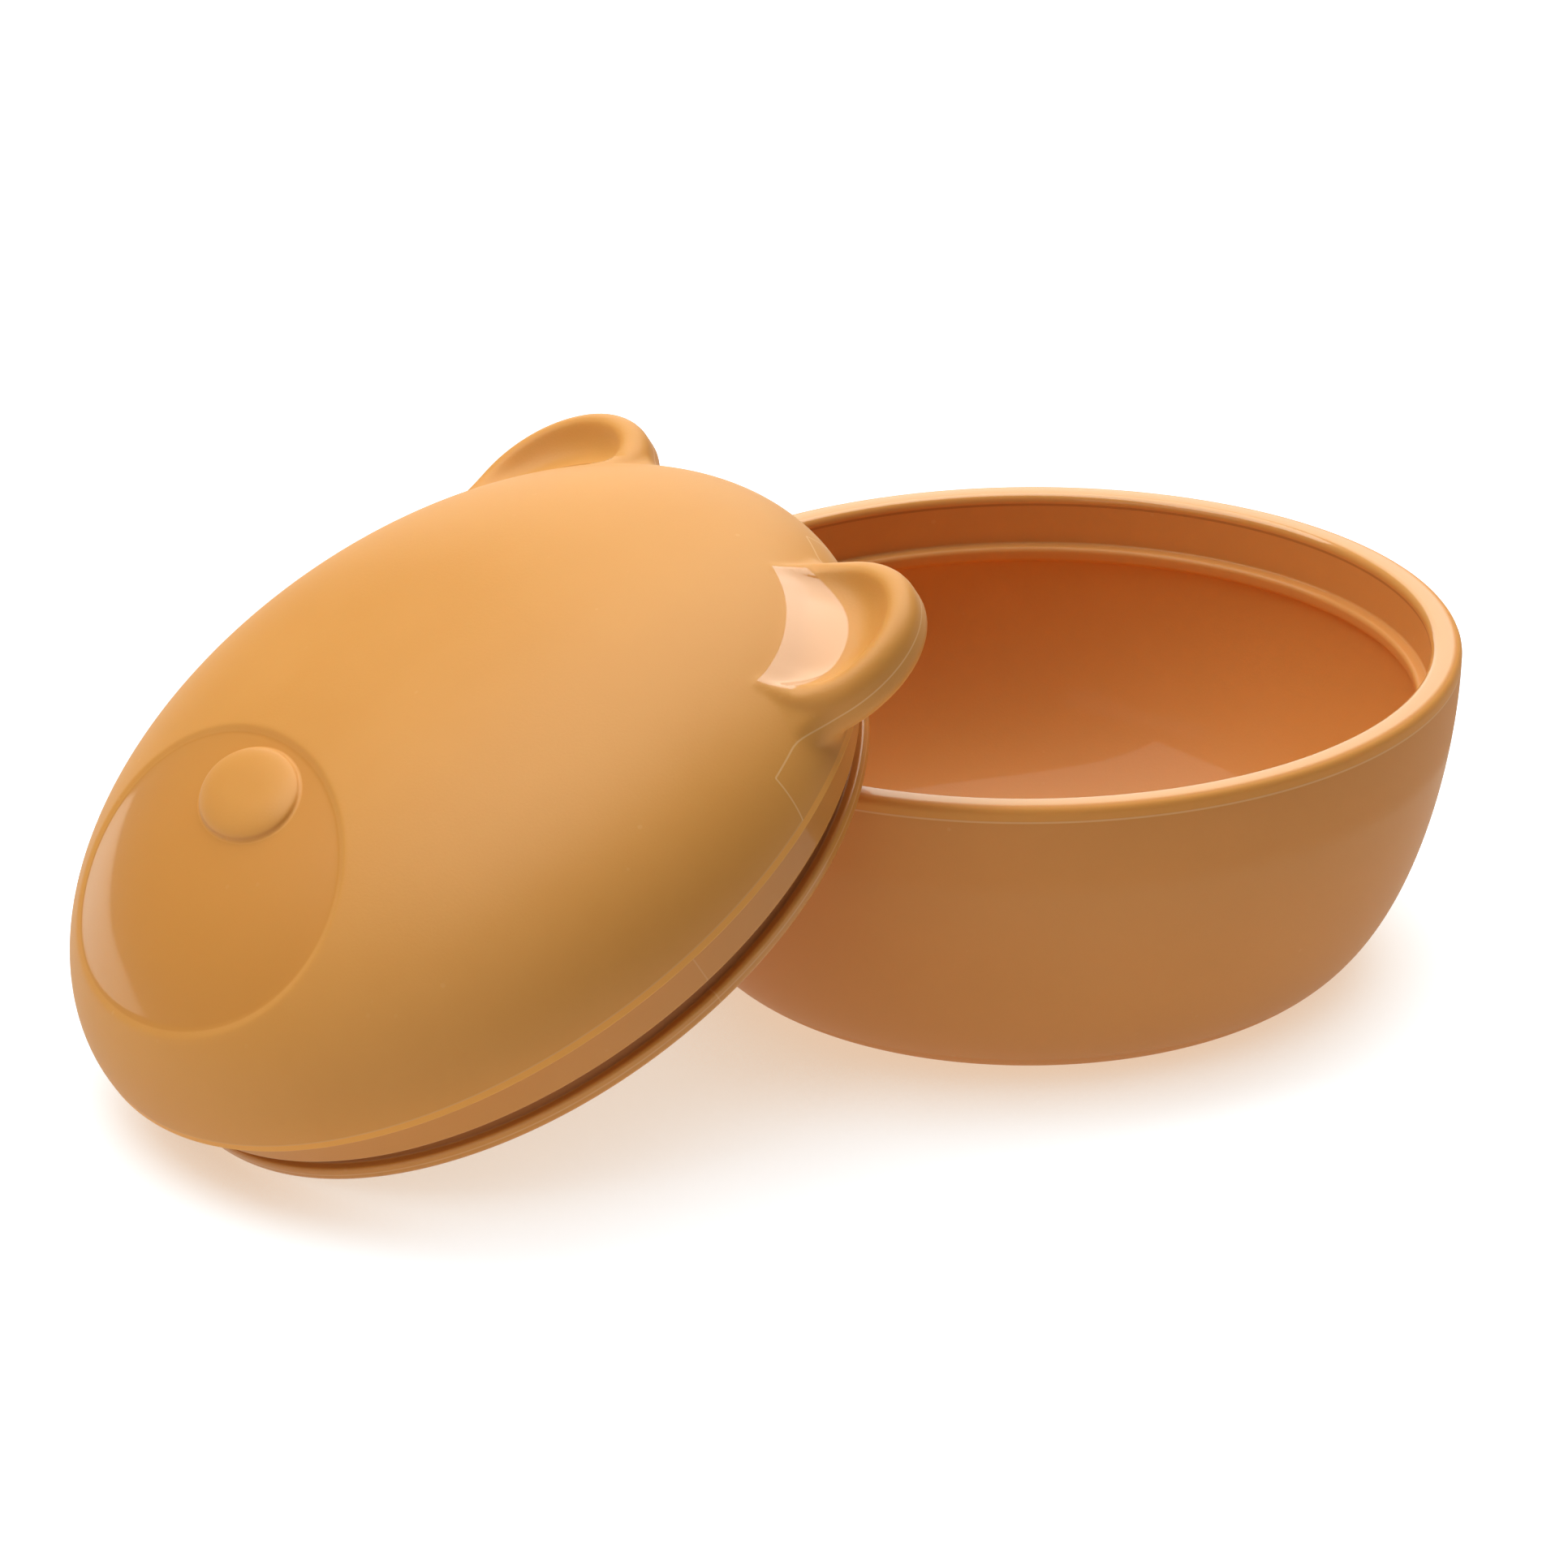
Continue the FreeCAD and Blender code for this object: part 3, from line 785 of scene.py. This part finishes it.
class Link:
    """A node's output that can be used in a sum."""

    def __init__(self, tree, socket=None):
        self.tree = tree
        self.socket = socket

    def node(self, kind, settings=None, sockets=None, output=0):
        """Add a node: its settings first, then the values or links of its sockets."""
        made = self.tree.nodes.new("ShaderNode" + kind)
        for name, value in (settings or {}).items():
            setattr(made, name, value)
        for name, value in (sockets or {}).items():
            if isinstance(value, Link):
                self.tree.links.new(value.socket, made.inputs[name])
            else:
                made.inputs[name].default_value = value
        return Link(self.tree, made.outputs[output] if made.outputs else None)

    def sibling(self, output):
        """Another output of the same node."""
        return Link(self.tree, self.socket.node.outputs[output])

    def math(self, operation, first, second=0.0):
        return self.node("Math", {"operation": operation}, {0: first, 1: second})

    def __add__(self, other):
        return self.math("ADD", self, other)

    __radd__ = __add__

    def __sub__(self, other):
        return self.math("SUBTRACT", self, other)

    def __rsub__(self, other):
        return self.math("SUBTRACT", other, self)

    def __mul__(self, other):
        return self.math("MULTIPLY", self, other)

    __rmul__ = __mul__

    def __truediv__(self, other):
        return self.math("DIVIDE", self, other)

    def __abs__(self):
        return self.math("ABSOLUTE", self)

    def at_most(self, other):
        return self.math("MINIMUM", self, other)

    def step(self, low, high):
        """0 below low, 1 above high, soft between."""
        ends = {"Value": self, "From Min": low, "From Max": high}
        return self.node("MapRange", {"interpolation_type": "SMOOTHSTEP"}, ends)

    def line(self, place, half, soft):
        """1 within half of a place, fading over soft."""
        return 1 - abs(self - place).step(half, half + soft)

    def mix(self, first, second):
        """A colour that goes from first to second as this value goes from 0 to 1."""
        ends = {"Factor": self, COLOUR_A: first, COLOUR_B: second}
        return self.node("Mix", {"data_type": "RGBA"}, ends, COLOUR_OUT)


def length(first, second):
    """Length of two legs at a right angle."""
    total = first * first + second * second
    return total.math("SQRT", total)


def new_finish(name):
    """An empty material and a link to start sums from."""
    finish = bpy.data.materials.new(name)
    finish.use_nodes = True
    finish.node_tree.nodes.clear()
    return finish, Link(finish.node_tree)


print("shader arithmetic ready")

# %% [markdown]
# Both mouldings are the same orange silicone. Blasted steel in the mould leaves most of the skin
# matte with a very fine grain; polished steel leaves the rim, the muzzle and the ear dishes
# glossy. Two materials would leave a hard border between them, so there is one recipe, given a
# mask of where the mould was polished. A clear coat makes the gloss, a bump the grain, and a few
# specks of dust lie on the matte skin.

# %% Silicone recipe
GLOSS_ROUGHNESS = 0.36
# painted shade colour, for places where little light comes back out
PAINTED_SHADE_COLOUR = (0.34, 0.115, 0.028, 1)
# painted highlight colour, for thin edges that catch light
PAINTED_HIGHLIGHT_COLOUR = (0.88, 0.42, 0.085, 1)
LINE_COLOUR = (0.90, 0.60, 0.30, 1)
CLOUD_FADE = (0.3, 0.7)
CLOUD_MIDDLE = 0.5
CLOUD_ROUGHNESS = 0.08
SPECK_FADE = (0.05, 0.09)
DUSTY_CLOUD = (0.5, 0.62)
DUST_SHARE = 0.12
GRAIN_LOST = 0.85
COAT_SHARE = 0.95


def silicone(start, place, colours, masks, matte_roughness, sheen):
    """Wire up the silicone: colours, and masks of polish, lines, painted highlights and painted shade."""
    gloss, pale, painted_highlight, painted_shade = masks
    cloud = start.node("TexNoise", {}, {"Vector": place, "Scale": 0.045, "Detail": 3.0})
    grain = start.node("TexNoise", {}, {"Vector": place, "Scale": 2.6, "Detail": 2.0})
    cells = {"Vector": place, "Scale": 0.22, "Randomness": 1.0}
    speck = start.node("TexVoronoi", {"feature": "F1"}, cells)
    dust = (1 - speck.step(*SPECK_FADE)) * (1 - gloss) * cloud.step(*DUSTY_CLOUD)
    matte = cloud.step(*CLOUD_FADE).mix(colours[0], colours[1])
    # painted highlight: a lighter colour where an edge catches light
    highlighted = painted_highlight.mix(matte, PAINTED_HIGHLIGHT_COLOUR)
    shown = gloss.mix(highlighted, colours[2])
    lined = pale.mix(shown, LINE_COLOUR)
    # painted shade: a darker colour where little light comes back out
    shaded = painted_shade.mix(lined, PAINTED_SHADE_COLOUR)
    dusted = (dust * DUST_SHARE).mix(shaded, LINE_COLOUR)
    rough = matte_roughness + (GLOSS_ROUGHNESS - matte_roughness) * gloss
    rough = rough + (cloud - CLOUD_MIDDLE) * CLOUD_ROUGHNESS
    height = grain * (1 - gloss * GRAIN_LOST)
    bump = start.node("Bump", {}, {"Height": height, "Strength": 0.25, "Distance": 0.00006})
    skin = start.node(
        "BsdfPrincipled",
        {},
        {
            "Base Color": dusted,
            "Roughness": rough,
            "Normal": bump,
            "IOR": 1.41,
            "Specular IOR Level": sheen,
            "Coat Weight": gloss * COAT_SHARE,
            "Coat Roughness": 0.07,
            "Coat IOR": 1.65,
            "Subsurface Weight": 0.12,
            "Subsurface Radius": (1.0, 0.45, 0.2),
            "Subsurface Scale": 0.004,
        },
    )
    start.node("OutputMaterial", {}, {"Surface": skin})


print("recipe: gloss", GLOSS_ROUGHNESS, "rough under its coat, dust", DUST_SHARE)

# %% [markdown]
# The lid's masks are sums in the lid's own millimetres, so they are turned back upright first.
# Polished are the muzzle round the nose, the two dishes up to a curved end, and a little of the
# plug. The fine pale lines are where the mould parts met: along the skirt, up and round each ear,
# once across the plug and once round the bead. Each mask is a product of soft steps whose two
# numbers are where it starts and where it is full.

# %% Places on the lid
LID_COLOURS = ((0.70, 0.325, 0.076, 1), (0.72, 0.34, 0.084, 1), (0.68, 0.285, 0.05, 1))
LID_ROUGHNESS = 0.44
LID_SHEEN = 0.4
MUZZLE_FADE = (0.975, 0.99)
NOSE_FADE = (1.04, 1.06)
SKIRT_FADE = (-1.15, -1.05)

lid_finish, start = new_finish("lid_silicone")
coords = start.node("TexCoord", {}, {}, "Object")
tilt = lid_frame.to_euler("XYZ")
upright = {"Vector": coords, "Location": LID_PLACE, "Rotation": tilt, "Scale": (MM, MM, MM)}
place = start.node("Mapping", {"vector_type": "TEXTURE"}, upright)
x = start.node("SeparateXYZ", {}, {"Vector": place})
y, h = x.sibling(1), x.sibling(2)
radius = length(x, y)
ear_reach = length(abs(x) - EAR_X, y - EAR_Y)
along = abs(x) * math.sin(EAR_ANGLE) + y * math.cos(EAR_ANGLE)
across = abs(x) * math.cos(EAR_ANGLE) - y * math.sin(EAR_ANGLE)
from_arc = length(along - ARC_CENTRE, across) - ARC_RADIUS
ear_turn = abs(start.math("ARCTAN2", across, along)) * math.degrees(1)
muzzle = 1 - length((x - FACE_X) / MUZZLE_WIDE, (y - MUZZLE_Y) / MUZZLE_TALL).step(*MUZZLE_FADE)
nose = 1 - length((x - FACE_X) / NOSE_WIDE, (y - NOSE_Y) / NOSE_TALL).step(*NOSE_FADE)
below_skirt = 1 - h.step(*SKIRT_FADE)
print("places on the lid", len(lid_finish.node_tree.nodes), "nodes")

# %% [markdown]
# With the places known, the polish and the groove's painted shade come first. On the real lid
# hardly any light comes back out of the narrow groove. A deeper cut could darken it too, but it
# would thin the wall, so the groove's skin is given a darker colour instead: a painted shade.

# %% Polish and painted groove shade of the lid
DISH_FADE = (12.0, 12.2)
DISH_FOOT = (3.4, 3.6)
ARC_FADE = (-0.05, 0.1)
POLISH_FADE = (6.4, 6.7)
POLISH_BEND = 0.02
MUZZLE_FOOT = (2.0, 3.0)
MUZZLE_POLISH = 0.6
PLUG_POLISH = 0.4
GROOVE_OUTSIDE = (53.3, 53.7)
GROOVE_INSIDE = (50.6, 51.0)
GROOVE_LOW = (-11.1, -10.8)
GROOVE_HIGH = (-8.6, -8.2)
GROOVE_SHADE = 0.85

polish_end = (from_arc + across * across * POLISH_BEND).step(*POLISH_FADE)
dish = (1 - ear_reach.step(*DISH_FADE)) * h.step(*DISH_FOOT) * from_arc.step(*ARC_FADE) * (1 - polish_end)
# painted shade: the groove's skin is darker where little light comes back out
groove_ring = (1 - radius.step(*GROOVE_OUTSIDE)) * radius.step(*GROOVE_INSIDE)
groove = groove_ring * h.step(*GROOVE_LOW) * (1 - h.step(*GROOVE_HIGH))
face_gloss = muzzle * (1 - nose) * h.step(*MUZZLE_FOOT) * MUZZLE_POLISH
gloss = (face_gloss + dish + below_skirt * (1 - groove) * PLUG_POLISH).at_most(1.0)
print("polish", len(lid_finish.node_tree.nodes), "nodes")

# %% [markdown]
# A parting line is a hair of pale silicone. Real ridges so fine would need a mesh far denser
# than the rest, so they are drawn as colour. Round an ear the line runs at two heights and drops
# to the skirt on either side; the skirt's thin edge catches light, painted as a lighter band: a painted
# highlight.

# %% Lines and painted skirt highlight of the lid
HAIR = (0.06, 0.1)
THIN_HAIR = (0.04, 0.1)
LINE_LOW = 4.84
LINE_CLIMB = 1.36
CLIMB_TURN = (13.5, 20.0)
EAR_LINE_END = (24.85, 24.95)
EAR_LINE_REACH = (56.0, 56.8)
DROP_TURN = 26.3
DROP_LEAN = 0.226
DROP_TOP = (6.15, 6.25)
DROP_FOOT = (-0.1, 0.0)
SKIRT_LINE_START = (26.2, 26.3)
SKIRT_LINE = 0.4
LINE_REACH = (56.0, 56.5)
LINE_SHARE = 0.6
BAND_FOOT = (-1.22, -1.15)
BAND_TOP = (-0.12, -0.04)
BAND_REACH = (58.0, 58.3)
SKIRT_HIGHLIGHT_SHARE = 0.8
CROSS_PLACE = 1.7
CROSS_START = (45.0, 46.0)
CROSS_TOP = (-1.4, -1.3)
CROSS_SHARE = 0.3
BEAD_LINE_HEIGHT = -12.0
BEAD_LINE_REACH = (53.0, 53.2)
BEAD_LINE = 0.4

line_height = LINE_LOW + LINE_CLIMB * ear_turn.step(*CLIMB_TURN)
ear_line = (h - line_height).line(0.0, *HAIR)
ear_line = ear_line * (1 - ear_turn.step(*EAR_LINE_END)) * radius.step(*EAR_LINE_REACH)
drop_line = (ear_turn + h * DROP_LEAN - DROP_TURN).line(0.0, *HAIR)
drop_line = drop_line * (1 - h.step(*DROP_TOP)) * h.step(*DROP_FOOT)
skirt_line = h.line(0.0, *HAIR) * ear_turn.step(*SKIRT_LINE_START) * SKIRT_LINE
# painted highlight: a lighter band on the skirt's thin edge, where it catches light
skirt_highlight = h.step(*BAND_FOOT) * (1 - h.step(*BAND_TOP)) * radius.step(*BAND_REACH) * SKIRT_HIGHLIGHT_SHARE
cross_line = y.line(CROSS_PLACE, *THIN_HAIR) * x.step(*CROSS_START) * (1 - h.step(*CROSS_TOP)) * CROSS_SHARE
bead_line = h.line(BEAD_LINE_HEIGHT, *THIN_HAIR) * radius.step(*BEAD_LINE_REACH) * BEAD_LINE
lines = (ear_line + drop_line + skirt_line) * radius.step(*LINE_REACH) * LINE_SHARE
lid_masks = (gloss, lines + cross_line + bead_line, skirt_highlight, groove * GROOVE_SHADE)
silicone(start, place, LID_COLOURS, lid_masks, LID_ROUGHNESS, LID_SHEEN)
lid.data.materials.clear()
lid.data.materials.append(lid_finish)
print("lid finish", len(lid_finish.node_tree.nodes), "nodes")

# %% [markdown]
# The bowl needs less: its outside is matte, the flat of the rim is polished and the inside only a
# little. One parting line runs below the rim's outer edge; the shoulder above has a painted highlight.
# Under the inner lip a soft dark line stands for the shade below its rounded edge.

# %% Bowl finish
BOWL_COLOURS = ((0.70, 0.305, 0.085, 1), (0.72, 0.315, 0.09, 1), (0.72, 0.345, 0.085, 1))
BOWL_ROUGHNESS = 0.58
BOWL_SHEEN = 0.3
INSIDE_FADE = (57.6, 58.2)
INSIDE_FOOT = (3.5, 3.9)
INSIDE_POLISH = 0.15
RIM_POLISH = 0.7
RIM_FADE = (BOWL_HEIGHT - 1.3, BOWL_HEIGHT - 0.9)
RIM_LINE_HEIGHT = BOWL_HEIGHT - 2.1
RIM_HAIR = (0.07, 0.12)
RIM_LINE_REACH = (58.0, 58.5)
RIM_LINE = 0.5
LIP_LINE_HEIGHT = BOWL_HEIGHT - 1.5
LIP_HAIR = (0.1, 0.15)
LIP_FADE = (56.0, 56.5)
LIP_SHADE = 0.5
SHOULDER_FOOT = (BOWL_HEIGHT - 2.0, BOWL_HEIGHT - 1.8)
SHOULDER_REACH = (58.2, 58.5)
SHOULDER_HIGHLIGHT_SHARE = 0.4

bowl_finish, start = new_finish("bowl_silicone")
coords = start.node("TexCoord", {}, {}, "Object")
place = start.node("Mapping", {"vector_type": "TEXTURE"}, {"Vector": coords, "Scale": (MM, MM, MM)})
x = start.node("SeparateXYZ", {}, {"Vector": place})
y, h = x.sibling(1), x.sibling(2)
radius = length(x, y)
inside = (1 - radius.step(*INSIDE_FADE)) * h.step(*INSIDE_FOOT)
gloss = inside * (INSIDE_POLISH + RIM_POLISH * h.step(*RIM_FADE))
rim_line = h.line(RIM_LINE_HEIGHT, *RIM_HAIR) * radius.step(*RIM_LINE_REACH)
lip_line = h.line(LIP_LINE_HEIGHT, *LIP_HAIR) * (1 - radius.step(*LIP_FADE)) * LIP_SHADE
# painted highlight: a lighter band on the shoulder above the parting line
shoulder_highlight = h.step(*SHOULDER_FOOT) * radius.step(*SHOULDER_REACH) * SHOULDER_HIGHLIGHT_SHARE
bowl_masks = (gloss, rim_line * RIM_LINE, shoulder_highlight, lip_line)
silicone(start, place, BOWL_COLOURS, bowl_masks, BOWL_ROUGHNESS, BOWL_SHEEN)
bowl.data.materials.clear()
bowl.data.materials.append(bowl_finish)
print("bowl finish", len(bowl_finish.node_tree.nodes), "nodes")

# %% [markdown]
# The stage is a pale floor with no horizon in the picture. A floor lit to full white would need
# too much light on the object, so the camera sees a floor that glows near white by itself. What
# it loses where the mouldings stand is worked out by two occlusion nodes: one with a wide reach
# for the soft shade round them, one with a short reach for the darker contact. A weak matte part
# on top carries the lamps' own shadows. Light that bounces between floor and silicone meets a
# plain floor, which throws warm light back.

# %% Floor
FLOOR_SIZE = 6.0
BOUNCE_COLOUR = (0.42, 0.41, 0.40, 1)
GLOW_COLOUR = (0.47, 0.42, 0.375, 1)
NEAR_WHITE = (0.95, 0.94, 0.93, 1)
WIDE_SHADE = (0.70, 0.58, 0.47, 1)
TIGHT_SHADE = (0.68, 0.51, 0.38, 1)
SHADOW_COLOUR = (0.30, 0.40, 0.50, 1)
WIDE_REACH = 0.1
WIDE_FADE = (0.16, 0.42)
TIGHT_REACH = 0.03
TIGHT_FADE = (0.1, 0.8)
SKY_RAYS = 6

bpy.ops.object.select_all(action="DESELECT")
bpy.ops.mesh.primitive_plane_add(size=FLOOR_SIZE, location=(0, 0, 0))
floor = bpy.context.object
floor.name = "floor"
floor_finish, start = new_finish("floor_white")
camera_ray = start.node("LightPath")
clear_ray = camera_ray.sibling("Is Transmission Ray")
bounce = start.node("BsdfDiffuse", {}, {"Color": BOUNCE_COLOUR})
glow = start.node("Emission", {}, {"Color": GLOW_COLOUR, "Strength": 1.0})
matte = start.node("AddShader", {}, {0: bounce, 1: glow})
wide_sky = start.node("AmbientOcclusion", {"samples": SKY_RAYS}, {"Distance": WIDE_REACH}, "AO")
tight_sky = start.node("AmbientOcclusion", {"samples": SKY_RAYS}, {"Distance": TIGHT_REACH}, "AO")
near_white = start.node("Emission", {}, {"Color": NEAR_WHITE, "Strength": 1.0})
wide_shade = start.node("Emission", {}, {"Color": WIDE_SHADE, "Strength": 1.0})
tight_shade = start.node("Emission", {}, {"Color": TIGHT_SHADE, "Strength": 1.0})
under = start.node("MixShader", {}, {0: wide_sky.step(*WIDE_FADE), 1: wide_shade, 2: near_white})
plain = start.node("MixShader", {}, {0: tight_sky.step(*TIGHT_FADE), 1: tight_shade, 2: under})
shade = start.node("BsdfDiffuse", {}, {"Color": SHADOW_COLOUR})
pictured = start.node("AddShader", {}, {0: shade, 1: plain})
seen = (camera_ray + clear_ray).at_most(1.0)
shown = start.node("MixShader", {}, {0: seen, 1: matte, 2: pictured})
start.node("OutputMaterial", {}, {"Surface": shown})
floor.data.materials.append(floor_finish)
print("floor finish", len(floor_finish.node_tree.nodes), "nodes")

# %% [markdown]
# Soft studio light: one large softbox straight overhead and a little behind, a weak one on the
# left, and a bright card behind that the polished rim and dishes mirror. A pale world fills the
# shadows a little, and to the camera it is plain white.

# %% Lights
LAMP_COLOUR = (1.0, 0.97, 0.88)
LAMPS = {
    "main_softbox": ((-0.48, 0.09, 1.2), (-0.48, 0.09, 0.0), (1.2, 2.3), 30.0),
    "side_softbox": ((0.45, -1.25, 0.5), (0.0, 0.0, 0.0), (1.2, 1.2), 2.5),
    "back_card": ((-1.6, 0.8, 0.75), (0.0, 0.0, 0.0), (1.4, 1.4), 9.0),
}
FILL_COLOUR = (1, 0.985, 0.97, 1)
FILL_STRENGTH = 0.08
SKY_WHITE = (1, 1, 1, 1)

for name, (spot, target, size, power) in LAMPS.items():
    bpy.ops.object.select_all(action="DESELECT")
    bpy.ops.object.light_add(type="AREA", location=spot)
    lamp = bpy.context.object
    lamp.name = name
    lamp.data.shape = "RECTANGLE"
    lamp.data.size, lamp.data.size_y = size
    lamp.data.energy = power
    lamp.data.color = LAMP_COLOUR
    lamp.rotation_euler = (Vector(spot) - Vector(target)).to_track_quat("Z", "Y").to_euler()

world = bpy.data.worlds.new("studio")
bpy.context.scene.world = world
world.use_nodes = True
world.node_tree.nodes.clear()
start = Link(world.node_tree)
ray = start.node("LightPath")
fill = start.node("Background", {}, {"Color": FILL_COLOUR, "Strength": FILL_STRENGTH})
white = start.node("Background", {}, {"Color": SKY_WHITE, "Strength": 1.0})
sky = start.node("MixShader", {}, {0: ray, 1: fill, 2: white})
start.node("OutputWorld", {}, {"Surface": sky})
bpy.context.scene.view_settings.view_transform = "Standard"
print("lamps", list(LAMPS))
